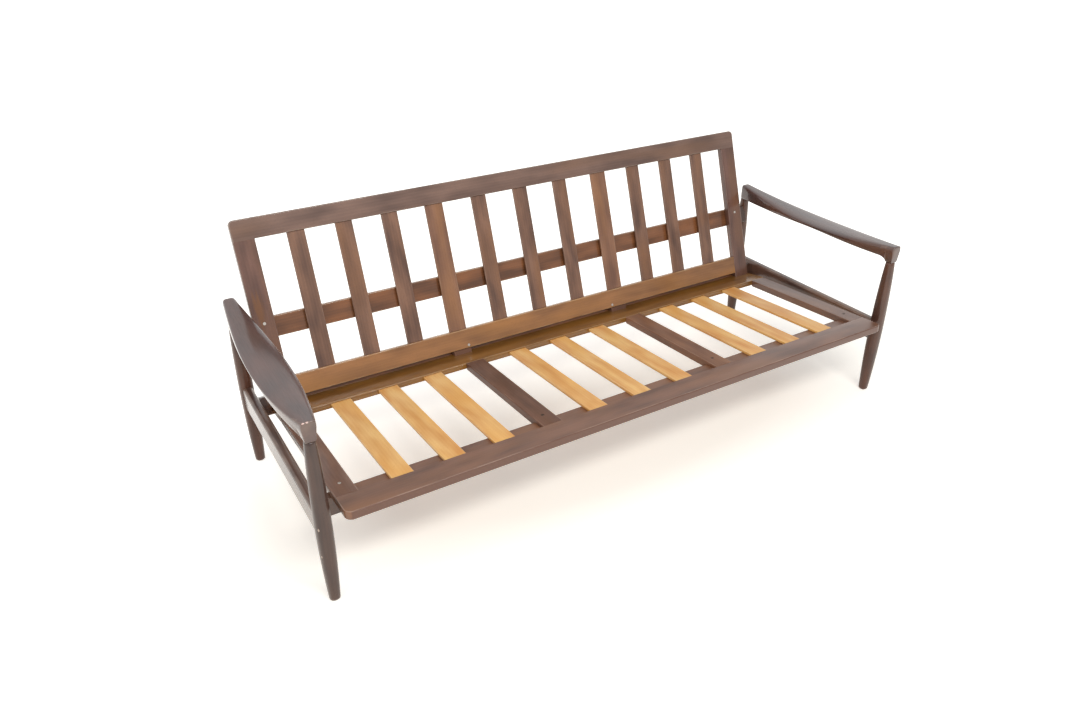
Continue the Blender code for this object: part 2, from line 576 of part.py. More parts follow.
stiles = {}
stile_cores = []
for side, sign in SIDES:
    place = (sign * STILE_X, BACK_MIDDLE, (WINDOW_TOP - FIT - CUT_PAST) / 2)
    mesh = block((STILE_WIDTH, BACK_THICKNESS, WINDOW_TOP - FIT + CUT_PAST), "Z", BOARD_ROUNDING)
    core = ((sign * STILE_X, BACK_MIDDLE, WINDOW_TOP / 2),
            (STILE_WIDTH - 2 * STILE_TENON_SHOULDER, BACK_TENON_THICKNESS,
             WINDOW_TOP + 2 * STILE_TENON_LENGTH))
    stiles[side] = add(f"back_stile_{side}", mesh, BACK, place, DARK_WOOD)
    cut(stiles[side], foot_clearance)
    tenoned(stiles[side], core)
    cut(stiles[side], bottom_mortise)
    stile_cores.append(core)
stile_mortises = boxes("back_stile_mortises", BACK, stile_cores, FIT)
cut(top_rail, stile_mortises)
cut(rear_rail, stile_mortises)

back_slats = [(x, BACK_SLAT_WIDTH, DARK_WOOD)
              for x in in_places(STILE_INNER_X, BACK_WIDE_SLAT_WIDTH, BACK_SLAT_WIDTH)]
back_slats += [(x, BACK_WIDE_SLAT_WIDTH, WARM_WOOD) for x in DIVIDERS]
slat_cores = []
for number, (x, width, wood) in enumerate(sorted(back_slats, key=lambda slat: slat[0]), start=1):
    place = (x, BACK_MIDDLE, (WINDOW_BOTTOM + WINDOW_TOP) / 2)
    mesh = block((width, BACK_SLAT_THICKNESS, BACK_WINDOW_HEIGHT - 2 * FIT), "Z", BACK_SLAT_ROUNDING, 3)
    core = (place, (width - 2 * BACK_SLAT_TENON_SHOULDER, BACK_SLAT_TENON_THICKNESS,
                    BACK_WINDOW_HEIGHT + 2 * BACK_SLAT_TENON_LENGTH))
    tenoned(add(f"back_slat_{number}", mesh, BACK, place, wood), core)
    slat_cores.append(core)
slat_mortises = boxes("back_slat_mortises", BACK, slat_cores, FIT)
cut(top_rail, slat_mortises)
cut(bottom_rail, slat_mortises)

# Cleats: each fills the gap between the rear rail and the bottom rail.
for number, x in enumerate(DIVIDERS, start=1):
    place = (x, BACK_MIDDLE, (BACK_FOOT_HEIGHT - FIT - CUT_PAST) / 2)
    mesh = block((CLEAT_WIDTH, BACK_THICKNESS, BACK_FOOT_HEIGHT - FIT + CUT_PAST), "Z", SLAT_ROUNDING)
    cut(add(f"back_cleat_{number}", mesh, BACK, place, WARM_WOOD), foot_clearance)

# Screws: turned, head uppermost on their own Z, each with its own hole in the pieces it passes.


def turned(name, length, grow, parent, place, facing, material=None):
    """A screw of this length, or its hole when it is grown and reaches out past the head."""
    head = SCREW_HEAD_WIDTH / 2 + grow
    shank = SCREW_SHANK_WIDTH / 2 + grow
    top = CUT_PAST if grow else -FIT
    profile = ((0.0, top), (head, top), (head, -FIT - SCREW_RIM), (shank, -SCREW_HEAD_DEPTH),
               (shank, SCREW_POINT_LENGTH - length), (0.0, -length - grow))
    mesh = bmesh.new()
    points = [mesh.verts.new((radius, 0.0, height)) for radius, height in profile]
    for upper, lower in zip(points, points[1:]):
        mesh.edges.new((upper, lower))
    made = add(name, mesh, parent, place, material)
    made.rotation_euler = facing
    sweep = made.modifiers.new("turning", "SCREW")
    sweep.steps = SCREW_FACETS
    sweep.render_steps = SCREW_FACETS
    sweep.use_merge_vertices = True
    sweep.merge_threshold = 0.00001
    return made


def screw(name, length, parent, place, facing, pieces):
    made = turned(name, length, 0.0, parent, place, facing, STEEL)
    slot = ((0.0, 0.0, -FIT), (2 * SCREW_HEAD_WIDTH, SCREW_SLOT_WIDTH, 2 * SCREW_SLOT_DEPTH))
    cut(made, boxes(f"{name}_slot", made, [slot]))
    hole = turned(f"{name}_hole", length, FIT, parent, place, facing)
    for piece in pieces:
        cut(piece, hole)


UPWARDS = (0.0, 0.0, 0.0)
FORWARDS = (pi / 2, 0.0, 0.0)
for name, x, width in seat_boards:
    screw(f"{name}_screw", SEAT_THICKNESS + SEAT_SCREW_GRIP, SEAT, (x, CROSS_RAIL_Y, 0.0), UPWARDS,
          (bpy.data.objects[f"seat_{name}"], front_cross_rail))
stile_screw_z = REAR_CROSS_RAIL_Z + REAR_CROSS_RAIL_HEIGHT / 2 - STILE_SCREW_BELOW_RAIL_TOP
for side, sign in SIDES:
    screw(f"stile_screw_{side}", BACK_THICKNESS + BACK_SCREW_GRIP, BACK,
          (sign * STILE_X, 0.0, stile_screw_z), FORWARDS, (stiles[side], rear_cross_rail))
for number, x in enumerate(DIVIDERS, start=1):
    towards_middle = -1 if x > 0 else 1
    screw_x = x + towards_middle * (CLEAT_WIDTH / 2 - CLEAT_SCREW_FROM_SIDE)
    screw(f"cleat_screw_{number}", BACK_THICKNESS + BACK_SCREW_GRIP, BACK,
          (screw_x, 0.0, BACK_FOOT_HEIGHT + CLEAT_SCREW_FROM_BOTTOM), FORWARDS, (bottom_rail, support_rail))
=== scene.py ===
"""Looks of a bare three-seat sofa frame: stained and lacquered beech with sculpted armrests, pale seat slats
and a few steel screws, on a plain pale floor. Metres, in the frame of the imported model."""

import json
from math import cos, pi, radians, sin, sqrt

import bmesh
import bpy
from mathutils import Matrix, Vector

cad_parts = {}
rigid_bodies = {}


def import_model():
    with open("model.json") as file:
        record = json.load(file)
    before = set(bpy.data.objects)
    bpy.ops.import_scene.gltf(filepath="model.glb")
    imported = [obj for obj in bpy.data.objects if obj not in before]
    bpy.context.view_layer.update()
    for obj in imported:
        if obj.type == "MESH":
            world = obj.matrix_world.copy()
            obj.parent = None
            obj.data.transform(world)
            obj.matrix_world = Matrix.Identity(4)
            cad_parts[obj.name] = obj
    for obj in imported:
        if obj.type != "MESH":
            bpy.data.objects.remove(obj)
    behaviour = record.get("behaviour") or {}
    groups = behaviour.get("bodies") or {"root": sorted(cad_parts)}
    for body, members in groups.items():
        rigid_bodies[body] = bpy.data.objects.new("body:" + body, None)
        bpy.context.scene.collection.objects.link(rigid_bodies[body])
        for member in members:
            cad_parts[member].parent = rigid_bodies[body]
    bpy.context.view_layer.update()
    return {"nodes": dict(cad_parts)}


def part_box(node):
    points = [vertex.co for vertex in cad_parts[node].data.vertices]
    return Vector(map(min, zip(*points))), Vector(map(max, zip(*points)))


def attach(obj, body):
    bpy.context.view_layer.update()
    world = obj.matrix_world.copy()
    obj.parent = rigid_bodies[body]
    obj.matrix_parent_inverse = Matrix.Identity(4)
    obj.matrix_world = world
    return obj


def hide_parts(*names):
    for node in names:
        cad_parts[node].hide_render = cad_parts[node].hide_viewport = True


for old in list(bpy.data.objects):
    bpy.data.objects.remove(old, do_unlink=True)
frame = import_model()

# Side rails: one straight rail with well rounded edges runs between the two legs at each end and carries
# the seat. Beech, planed, stained dark brown and lacquered; its ends are let into the legs.


def linear(hex_colour):
    """Linear colour of an sRGB hex value."""
    parts = [int(hex_colour[i:i + 2], 16) / 255 for i in (1, 3, 5)]
    return (*(c / 12.92 if c <= 0.04045 else ((c + 0.055) / 1.055) ** 2.4 for c in parts), 1.0)


def add_node(tree, kind, inputs, **settings):
    """Adds a node with its settings. Each input is a value, or another node's output to link."""
    made = tree.nodes.new(kind)
    for name, value in settings.items():
        setattr(made, name, value)
    for name, value in inputs.items():
        if isinstance(value, bpy.types.NodeSocket):
            tree.links.new(value, made.inputs[name])
        else:
            made.inputs[name].default_value = value
    return made


def grain_scale(along_mm, across_mm):
    """Turns metres into features of these sizes along and across the grain."""
    return (1000 / along_mm, 1000 / across_mm, 1000 / across_mm)


def stained_beech(name, deep, pale, golden, rubbed_and_highlight, coat=1.0, coat_roughness=0.18, polish=0.2, marks=()):
    """Beech that was planed, sanded, stained and lacquered. The stain takes unevenly, so a board is cloudy
    from deep to pale, with golden stretches where it was wiped thin. Rings and fibres show as faint streaks
    along the grain. The arrises are lighter in stretches, partly where the lacquer is rubbed thin and partly
    as a painted highlight on the rounded edges. Each board takes its own place in the log, so no two show the
    same figure. Polish is how much the wood shines under its lacquer. A mark is (centre, size, colour): a
    place, in the board's own axes, that a knock or wiping has changed, or where shade is painted on."""
    made = bpy.data.materials.new(name)
    made.use_nodes = True
    tree = made.node_tree
    log_size = (17.0, 0.9, 0.5)
    place = add_node(tree, "ShaderNodeTexCoord", {}).outputs["Object"]
    own = add_node(tree, "ShaderNodeObjectInfo", {}).outputs["Random"]
    shift = add_node(tree, "ShaderNodeVectorMath", {0: log_size, "Scale": own}, operation="SCALE").outputs[0]
    cut = add_node(tree, "ShaderNodeVectorMath", {0: place, 1: shift}).outputs[0]

    # Growth rings about 9 mm apart on the face, wider than in the wood so that they show from two metres.
    # They run far along the grain and lie aslant in the thickness. A wave of scale 1 repeats every 314 mm.
    ring_width, wave_length = 0.009, 0.314
    slant = (0.08, 1.0, 0.35)
    log = add_node(tree, "ShaderNodeVectorMath", {0: cut, 1: slant}, operation="MULTIPLY").outputs[0]
    rings = add_node(tree, "ShaderNodeTexWave",
                     {"Vector": log, "Scale": wave_length / ring_width, "Distortion": 6.0, "Detail": 2.0,
                      "Detail Scale": 0.6, "Detail Roughness": 0.5},
                     wave_type="BANDS", bands_direction="Y", wave_profile="SIN").outputs["Fac"]
    # Clouds of stain 130 by 36 mm, golden stretches 300 by 70 mm, fibres 90 by 2 mm, pores 8 by 0.9 mm. The
    # last two are coarser than in the wood, so that they show.
    figure = {}
    for key, size, detail in (("cloud", (130, 36), 1.5), ("wiped", (300, 70), 1.0),
                              ("fibre", (90, 2.0), 3.0), ("pore", (8, 0.9), 0.0)):
        stretched = add_node(tree, "ShaderNodeVectorMath", {0: cut, 1: grain_scale(*size)},
                             operation="MULTIPLY").outputs[0]
        figure[key] = add_node(tree, "ShaderNodeTexNoise",
                               {"Vector": stretched, "Scale": 1.0, "Detail": detail}).outputs["Fac"]
    tone = 0.0
    for source, share in ((rings, 0.05), (figure["fibre"], 0.06), (figure["cloud"], 0.89)):
        tone = add_node(tree, "ShaderNodeMath", {0: source, 1: share, 2: tone},
                        operation="MULTIPLY_ADD").outputs[0]
    stain = add_node(tree, "ShaderNodeMapRange",
                     {"Value": tone, "From Min": 0.32, "From Max": 0.68}).outputs[0]
    wiped = add_node(tree, "ShaderNodeMapRange",
                     {"Value": figure["wiped"], "From Min": 0.50, "From Max": 0.72, "To Max": 0.6}).outputs[0]
    pores = add_node(tree, "ShaderNodeMapRange",
                     {"Value": figure["pore"], "From Min": 0.60, "From Max": 0.76, "To Max": 0.30}).outputs[0]
    # The arrises are lighter in stretches about 60 mm long: partly rubbed lacquer, partly a painted highlight
    # on the rounded edges.
    edge_stretch_mm = 60
    arris = add_node(tree, "ShaderNodeAttribute", {}, attribute_name="arris").outputs["Fac"]
    stretch = add_node(tree, "ShaderNodeTexNoise",
                       {"Vector": cut, "Scale": 1000 / edge_stretch_mm, "Detail": 3.0}).outputs["Fac"]
    worn_and_highlit = add_node(tree, "ShaderNodeMapRange",
                    {"Value": stretch, "From Min": 0.32, "From Max": 0.68, "To Max": 0.7}).outputs[0]
    rub_and_highlight = add_node(tree, "ShaderNodeMath", {0: arris, 1: worn_and_highlit}, operation="MULTIPLY").outputs[0]
    layers = [(stain, pale), (wiped, golden), (pores, deep), (rub_and_highlight, rubbed_and_highlight)]
    # A mark has ragged edges, because it follows the fibres.
    for centre, size, changed in marks:
        away = add_node(tree, "ShaderNodeVectorMath", {0: place, 1: centre}, operation="SUBTRACT").outputs[0]
        away = add_node(tree, "ShaderNodeVectorMath", {0: away, 1: size}, operation="DIVIDE").outputs[0]
        reach = add_node(tree, "ShaderNodeVectorMath", {0: away}, operation="LENGTH").outputs["Value"]
        ragged = add_node(tree, "ShaderNodeMath", {0: figure["fibre"], 1: 2.0, 2: reach},
                          operation="MULTIPLY_ADD").outputs[0]
        inside = add_node(tree, "ShaderNodeMapRange", {"Value": ragged, "From Min": 2.0, "From Max": 1.5})
        layers.append((inside.outputs[0], changed))
    colour = linear(deep)
    for amount, over in layers:
        colour = add_node(tree, "ShaderNodeMix", {0: amount, 6: colour, 7: linear(over)},
                          data_type="RGBA").outputs[2]

    gloss = add_node(tree, "ShaderNodeMapRange",
                     {"Value": figure["fibre"], "From Min": 0.25, "From Max": 0.75,
                      "To Min": 0.55, "To Max": 0.40}).outputs[0]
    relief = add_node(tree, "ShaderNodeBump",
                      {"Strength": 0.10, "Distance": 0.0003, "Height": figure["fibre"]}).outputs[0]
    shader = tree.nodes["Principled BSDF"]
    shader.inputs["IOR"].default_value = 1.5
    shader.inputs["Specular IOR Level"].default_value = polish
    shader.inputs["Coat Weight"].default_value = coat
    shader.inputs["Coat Roughness"].default_value = coat_roughness
    tree.links.new(colour, shader.inputs["Base Color"])
    tree.links.new(gloss, shader.inputs["Roughness"])
    tree.links.new(relief, shader.inputs["Normal"])
    return made


def make_piece(node, mesh, finish, grain, face, lean=0.0):
    """Puts a mesh into the scene in place of a CAD node, with its own X along the grain and its own Z out of
    its face, so that the figure of the wood runs the right way."""
    crease = radians(60)
    tilt = Matrix.Rotation(-lean, 3, "X")
    along = tilt @ Vector(grain)
    out = tilt @ Vector(face)
    turn = Matrix((along, out.cross(along), out)).transposed()
    own = [turn.transposed() @ vert.co for vert in mesh.verts]
    middle = Vector([(min(p[i] for p in own) + max(p[i] for p in own)) / 2 for i in range(3)])
    place = Matrix.Translation(turn @ middle) @ turn.to_4x4()
    mesh.transform(place.inverted())
    data = bpy.data.meshes.new(f"{node}_finished")
    mesh.to_mesh(data)
    mesh.free()
    data.materials.append(finish)
    data.shade_smooth()
    data.set_sharp_from_angle(angle=crease)
    made = bpy.data.objects.new(f"{node}_finished", data)
    made.matrix_world = place
    bpy.context.scene.collection.objects.link(made)
    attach(made, "root")
    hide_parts(node)
    return made


def board(node, finish, grain, face, lean=0.0, arris=0.0, trim=None):
    """A board as it leaves the sander: the CAD board, with its last sharp edges eased if an arris is given,
    or its mesh trimmed by a function. The rounded edges next to its face are marked for wear and for a
    painted highlight."""
    weld, flat_below, sharp_above = 0.00001, radians(1), radians(50)
    edge_mark_from, edge_mark_to = 0.6, 0.98
    mesh = bmesh.new()
    mesh.from_mesh(frame["nodes"][node].data)
    bmesh.ops.remove_doubles(mesh, verts=mesh.verts, dist=weld)
    bmesh.ops.dissolve_limit(mesh, angle_limit=flat_below, verts=mesh.verts, edges=mesh.edges)
    if arris:
        sharp = [edge for edge in mesh.edges if edge.is_manifold and edge.calc_face_angle() > sharp_above]
        bmesh.ops.bevel(mesh, geom=sharp, offset=arris, segments=2, profile=0.5, affect="EDGES")
    if trim:
        trim(mesh)
    mark = mesh.loops.layers.float.new("arris")
    out = Matrix.Rotation(-lean, 3, "X") @ Vector(face)
    mesh.normal_update()
    for flat in mesh.faces:
        rounded = edge_mark_from < abs(out.dot(flat.normal)) < edge_mark_to
        for corner in flat.loops:
            corner[mark] = 1.0 if rounded else 0.0
    made = make_piece(node, mesh, finish, grain, face, lean)
    made.modifiers.new("flat faces", "WEIGHTED_NORMAL").keep_sharp = True


ACROSS, DEEP, UP = (1, 0, 0), (0, 1, 0), (0, 0, 1)
FRONT = (0, -1, 0)
side_wood = stained_beech("dark_stained_beech_lacquered", "#4c362e", "#705141", "#7c5537", "#92796a")
for side in ("left", "right"):
    board(f"side_rail_{side}", side_wood, DEEP, UP)

# Legs: four spindle legs, fattest where the side rail meets them and tapering to the foot and to the armrest,
# into which each is tenoned. Beech, turned, then shaved a little square, stained dark and lacquered. The
# front left one is the darkest, with two knocks that show bare wood.
LEG_WIDTH, LEG_FOOT_WIDTH, LEG_TOP_WIDTH = 0.0407, 0.0268, 0.0250
LEG_SQUARENESS, LEG_SWELL_POWER, LEG_TAPER_POWER = 2.4, 0.85, 0.65
LEG_FOOT_ROUNDING, LEG_TOP_EASING = 0.003, 0.0025
KNOCK_SIZE, KNOCK_COLOUR = (0.0045, 0.003, 0.003), "#c9b4a4"
KNOCK_PLACES = ((-0.003, 0.0158, 0.0149), (-0.087, 0.0180, 0.0101))
ARM_UNDERSIDE, KNUCKLE_DROP = 0.487, 0.017
rail_low, rail_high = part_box("side_rail_left")
SWELL_HEIGHT = (rail_low.z + rail_high.z) / 2
leg_wood = stained_beech("dark_stained_beech_turned", "#4a2f25", "#6b4534", "#764a2f", "#92796a", coat=0.7)
knocked_wood = stained_beech("dark_stained_beech_knocked", "#3f2d27", "#5b4238", "#634633", "#92796a",
                             coat=0.7, marks=[(centre, KNOCK_SIZE, KNOCK_COLOUR) for centre in KNOCK_PLACES])


def skin(rings):
    """A closed mesh over rings of equal count. Tight curves are marked for wear and a painted highlight."""
    mesh = bmesh.new()
    rows = [[mesh.verts.new(point) for point in ring] for ring in rings]
    count = len(rows[0])
    for lower, upper in zip(rows, rows[1:]):
        for i in range(count):
            j = (i + 1) % count
            mesh.faces.new((lower[i], lower[j], upper[j], upper[i]))
    mesh.faces.new(rows[0])
    mesh.faces.new(rows[-1])
    bmesh.ops.recalc_face_normals(mesh, faces=mesh.faces)
    mark = mesh.verts.layers.float.new("arris")
    tight_radius, least_tightness = 0.006, 0.6
    for vert in mesh.verts:
        spacing = sum(edge.calc_length() for edge in vert.link_edges) / 4
        tightness = max(edge.calc_face_angle() for edge in vert.link_edges) / spacing * tight_radius
        vert[mark] = min(tightness, 1.0) if tightness > least_tightness else 0.0
    return mesh


def squared_ring(half_width, power, count):
    """A circle drawn out towards a square."""
    ring = []
    for i in range(count):
        c, s = cos(2 * pi * i / count), sin(2 * pi * i / count)
        reach = half_width * (abs(c) ** power + abs(s) ** power) ** (-1 / power)
        ring.append((reach * c, reach * s))
    return ring


def leg_mesh(x, y, top):
    """A leg from its foot to the armrest. The rings stand closer together near the foot, and the mark for
    wear and painted highlight ends below the joint."""
    levels, crowding, count = 64, 1.15, 48
    rings = []
    for height in [top * (i / levels) ** crowding for i in range(levels)] + [top - LEG_TOP_EASING, top]:
        if height < SWELL_HEIGHT:
            swell = sin(pi / 2 * height / SWELL_HEIGHT) ** LEG_SWELL_POWER
            width = LEG_FOOT_WIDTH + (LEG_WIDTH - LEG_FOOT_WIDTH) * swell
        else:
            taper = sin(pi / 2 * (top - height) / (top - SWELL_HEIGHT)) ** LEG_TAPER_POWER
            width = LEG_TOP_WIDTH + (LEG_WIDTH - LEG_TOP_WIDTH) * taper
        inside = max(1 - height / LEG_FOOT_ROUNDING, 0.0)
        eased = max(1 - (top - height) / LEG_TOP_EASING, 0.0)
        half = width / 2 - LEG_FOOT_ROUNDING * (1 - sqrt(1 - inside ** 2)) - LEG_TOP_EASING / 2 * eased
        rings.append([(x + a, y + b, height) for a, b in squared_ring(half, LEG_SQUARENESS, count)])
    mesh = skin(rings)
    mark = mesh.verts.layers.float["arris"]
    for vert in mesh.verts:
        if vert.co.z > top - 2 * LEG_TOP_EASING:
            vert[mark] = 0.0
    return mesh


for side in ("left", "right"):
    for end, top in (("front", ARM_UNDERSIDE - KNUCKLE_DROP), ("rear", ARM_UNDERSIDE)):
        low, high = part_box(f"{end}_leg_{side}")
        mesh = leg_mesh((low.x + high.x) / 2, (low.y + high.y) / 2, top)
        knocked = end == "front" and side == "left"
        make_piece(f"{end}_leg_{side}", mesh, knocked_wood if knocked else leg_wood, UP, FRONT)

# Armrests: each is shaped from one beech plank, a thin wide paddle that narrows to a tall rear end and to a
# front knuckle, which turns down onto the leg. Both legs are tenoned up into it. Stained dark and lacquered,
# then polished by hands; the left one has two chips in the top of its knuckle.
ARM_WIDTH, ARM_END_WIDTH, ARM_WIDEST_FORWARD = 0.094, 0.033, 0.86
ARM_MIDDLE_THICKNESS, ARM_FRONT_THICKNESS, ARM_REAR_THICKNESS = 0.0245, 0.040, 0.052
ARM_EDGE_SHARE, ARM_END_EDGE_SHARE = 0.7, 0.5
ARM_SQUARENESS, ARM_END_TOP_SQUARENESS, ARM_END_BOTTOM_SQUARENESS = 2.3, 4.5, 12.0
ARM_FRONT_ROUNDING, ARM_REAR_ROUNDING = 0.0035, 0.0145
KNUCKLE_DEPTH, KNUCKLE_FOOT_WIDTH, KNUCKLE_RAKE, KNUCKLE_FILLET = 0.0265, 0.0262, 0.0028, 0.020
FRONT_STEPS, KNUCKLE_STEPS, FILLET_STEPS, PADDLE_STEPS, REAR_STEPS = 6, 8, 12, 72, 10
CHIP_SIZE, CHIP_COLOUR = (0.0024, 0.0036, 0.0024), "#ecc9bd"
CHIP_PLACES = ((-0.3463, 0.0112, 0.0215), (-0.3463, 0.0022, 0.0215))
ARM_STAIN = ("#3e241f", "#5a372d", "#623c27", "#846a5b")
arm_wood = stained_beech("dark_stained_beech_polished", *ARM_STAIN, coat_roughness=0.11, polish=0.5)
chipped_wood = stained_beech("dark_stained_beech_chipped", *ARM_STAIN, coat_roughness=0.11, polish=0.5,
                             marks=[(centre, CHIP_SIZE, CHIP_COLOUR) for centre in CHIP_PLACES])


def between(start, end, share):
    return start + (end - start) * share


def rounded_share(distance, radius):
    """Share of the full size this far in from a rounded end."""
    return sqrt(1 - (1 - min(distance / radius, 1.0)) ** 2)


def arm_section(x, front, length, back):
    """The section of an armrest this far back from its front end."""
    count = 72
    paddle = sin(pi * (back / length) ** ARM_WIDEST_FORWARD)
    end_thickness = between(ARM_FRONT_THICKNESS, ARM_REAR_THICKNESS, back / length)
    thickness = between(end_thickness, ARM_MIDDLE_THICKNESS, paddle)
    edge_height = thickness * between(ARM_END_EDGE_SHARE, ARM_EDGE_SHARE, paddle)
    hollow = 1 - rounded_share(max(back - KNUCKLE_DEPTH, 0.0), KNUCKLE_FILLET)
    front_inset = ARM_FRONT_ROUNDING * (1 - rounded_share(back, ARM_FRONT_ROUNDING))
    rear_inset = ARM_REAR_ROUNDING * (1 - rounded_share(length - back, ARM_REAR_ROUNDING))
    half = between(ARM_END_WIDTH, ARM_WIDTH, paddle) / 2 - front_inset - rear_inset
    rise = thickness - edge_height - front_inset - rear_inset
    fall = edge_height + KNUCKLE_DROP * hollow - front_inset
    foot = between(half, min(half, KNUCKLE_FOOT_WIDTH / 2), hollow)
    ring = []
    for i in range(count):
        c, s = cos(2 * pi * i / count), sin(2 * pi * i / count)
        squareness = ARM_END_TOP_SQUARENESS if s > 0 else ARM_END_BOTTOM_SQUARENESS
        power = between(squareness, ARM_SQUARENESS, paddle)
        reach = (abs(c) ** power + abs(s) ** power) ** (-1 / power)
        depth = max(-s * reach, 0.0)
        rake = KNUCKLE_RAKE * depth * max(1 - back / KNUCKLE_DEPTH, 0.0)
        height = ARM_UNDERSIDE + edge_height + (rise if s > 0 else fall) * reach * s
        ring.append((x + between(half, foot, depth) * reach * c, front + back + rake, height))
    return ring


for side in ("left", "right"):
    low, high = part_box(f"armrest_{side}")
    length = high.y - low.y
    fillet_end, paddle_end = KNUCKLE_DEPTH + KNUCKLE_FILLET, length - ARM_REAR_ROUNDING
    stations = [ARM_FRONT_ROUNDING * (1 - cos(pi / 2 * i / FRONT_STEPS)) for i in range(FRONT_STEPS)]
    stations += [between(ARM_FRONT_ROUNDING, KNUCKLE_DEPTH, i / KNUCKLE_STEPS) for i in range(KNUCKLE_STEPS)]
    stations += [between(KNUCKLE_DEPTH, fillet_end, 1 - cos(pi / 2 * i / FILLET_STEPS))
                 for i in range(FILLET_STEPS)]
    stations += [between(fillet_end, paddle_end, i / PADDLE_STEPS) for i in range(PADDLE_STEPS)]
    stations += [length - ARM_REAR_ROUNDING * (1 - sin(pi / 2 * i / REAR_STEPS))
                 for i in range(REAR_STEPS + 1)]
    rings = [arm_section((low.x + high.x) / 2, low.y, length, back) for back in stations]
    make_piece(f"armrest_{side}", skin(rings), chipped_wood if side == "left" else arm_wood, DEEP, UP)

# Cross rails: the front one lies under the seat and the support rail behind the foot of the back, both
# tenoned into the side rails. The rear one runs behind the back and is let into both rear legs. Beech boards,
# planed, stained and lacquered; the two at the rear came out russet, with painted shade darkening their ends.
SEAT_LEAN, BACK_LEAN = radians(3.9), radians(18.8)
RAIL_ENDS = ((-0.93, 0.0, 0.0), (0.93, 0.0, 0.0))
# The ends of the two rear rails beside the legs are painted darker: painted shade.
RAIL_END_SIZE, RAIL_END_SHADE_COLOUR = (0.03, 0.2, 0.2), "#4a3024"
cross_wood = stained_beech("russet_stained_beech_lacquered", "#633e26", "#97623d", "#9c6032", "#cba98b",
                           marks=[(centre, RAIL_END_SIZE, RAIL_END_SHADE_COLOUR) for centre in RAIL_ENDS])
board("front_cross_rail", side_wood, ACROSS, FRONT, SEAT_LEAN)
board("rear_support_rail", cross_wood, ACROSS, FRONT, BACK_LEAN)
board("rear_cross_rail", cross_wood, ACROSS, FRONT, BACK_LEAN)

# Seat frame: a wide front rail with rounded corners, two end rails and two cross bars lapped onto its rear
# ledge, and a rear rail that falls towards the back. Stained beech boards, glued and screwed. The front edge
# of the front rail is painted darker, as painted shade.
REAR_LEAN = radians(10.0)
# The front edge of the front rail is darkened: painted shade, where its face turns from the light above.
FRONT_EDGE, FRONT_EDGE_SIZE, FRONT_EDGE_SHADE_COLOUR = (0.0, -0.061, 0.0), (4.0, 0.0022, 0.2), "#67402d"
seat_wood = stained_beech("brown_stained_beech_lacquered", "#634231", "#875d46", "#90603c", "#c0a390",
                          coat_roughness=0.35, marks=[(FRONT_EDGE, FRONT_EDGE_SIZE, FRONT_EDGE_SHADE_COLOUR)])
bar_wood = stained_beech("brown_stained_beech_thinly_lacquered", "#6e4833", "#966849", "#9c663c", "#a98876",
                         coat=0.5, coat_roughness=0.35)
dark_bar_wood = stained_beech("dark_stained_beech_thinly_lacquered", "#56392a", "#785340", "#7c5133",
                              "#a98876", coat=0.4, coat_roughness=0.35)
end_wood = stained_beech("umber_stained_beech_lacquered", "#624437", "#84604c", "#8c5f40", "#a98876",
                         coat=0.8)
rear_wood = stained_beech("olive_stained_beech_lacquered", "#754f24", "#94662d", "#9c6b29", "#cfa87e")
board("seat_front_rail", seat_wood, ACROSS, UP, SEAT_LEAN)
for name, wood in (("end_rail_left", end_wood), ("end_rail_right", end_wood),
                   ("cross_bar_1", dark_bar_wood), ("cross_bar_2", bar_wood)):
    board(f"seat_{name}", wood, DEEP, UP, SEAT_LEAN)
board("seat_rear_rail", rear_wood, ACROSS, UP, REAR_LEAN)

# Seat slats: nine loose strips of beech, planed and clear lacquered, that lie on the ledge of the front rail
# and in slots of the rear rail. They were never stained, so they have aged to a light orange.
SLAT_LEAN, SLAT_ARRIS = radians(4.27), 0.0006
pale_wood = stained_beech("pale_beech_clear_lacquered", "#e59f52", "#ffce84", "#fdbd61", "#fbdcac", coat=0.6,
                          coat_roughness=0.3)
for number in range(1, 10):
    board(f"seat_slat_{number}", pale_wood, DEEP, UP, SLAT_LEAN, SLAT_ARRIS)

# Back frame: two stiles on the seat's rear rail, a top rail over them and a bottom rail between them, all
# tenoned. Beech boards 22 mm thick with eased edges, stained and lacquered; the bottom rail came out warmer,
# and the left stile was wiped in one place.
WIPED_PLACE, WIPED_SIZE, WIPED_COLOUR = (0.039, 0.005, 0.011), (0.060, 0.016, 0.03), "#7d5232"
STILE_STAIN = ("#593c33", "#825d4f", "#80583b", "#937566")
stile_wood = stained_beech("reddish_stained_beech_lacquered", *STILE_STAIN)
wiped_wood = stained_beech("reddish_stained_beech_wiped", *STILE_STAIN,
                           marks=[(WIPED_PLACE, WIPED_SIZE, WIPED_COLOUR)])
top_wood = stained_beech("greyed_stained_beech_lacquered", "#664d43", "#8a6c5e", "#846047", "#ac978a")
warm_wood = stained_beech("warm_stained_beech_lacquered", "#8c6039", "#b07a49", "#ba8144", "#dab78c")


def plane_flush(mesh):
    """Leaves the lower edge of the top rail square over the stiles, where the two were planed flush."""
    tilt = Matrix.Rotation(BACK_LEAN, 3, "X")
    rounding, joint, step = 0.0031, 0.00025, 0.0015
    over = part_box("back_stile_right")[0].x
    for x in (-over, step - over, over - step, over):
        bmesh.ops.bisect_plane(mesh, geom=mesh.verts[:] + mesh.edges[:] + mesh.faces[:], plane_co=(x, 0, 0),
                               plane_no=ACROSS)
    lowest = min((tilt @ vert.co).z for vert in mesh.verts)
    for vert in mesh.verts:
        above = (tilt @ vert.co).z - lowest
        if abs(vert.co.x) > over - step / 2 and above < rounding:
            vert.co -= tilt.transposed() @ Vector((0, 0, above + joint))


for side in ("left", "right"):
    board(f"back_stile_{side}", wiped_wood if side == "left" else stile_wood, UP, FRONT, BACK_LEAN)
board("back_top_rail", top_wood, ACROSS, FRONT, BACK_LEAN, trim=plane_flush)
board("back_bottom_rail", warm_wood, ACROSS, FRONT, BACK_LEAN)

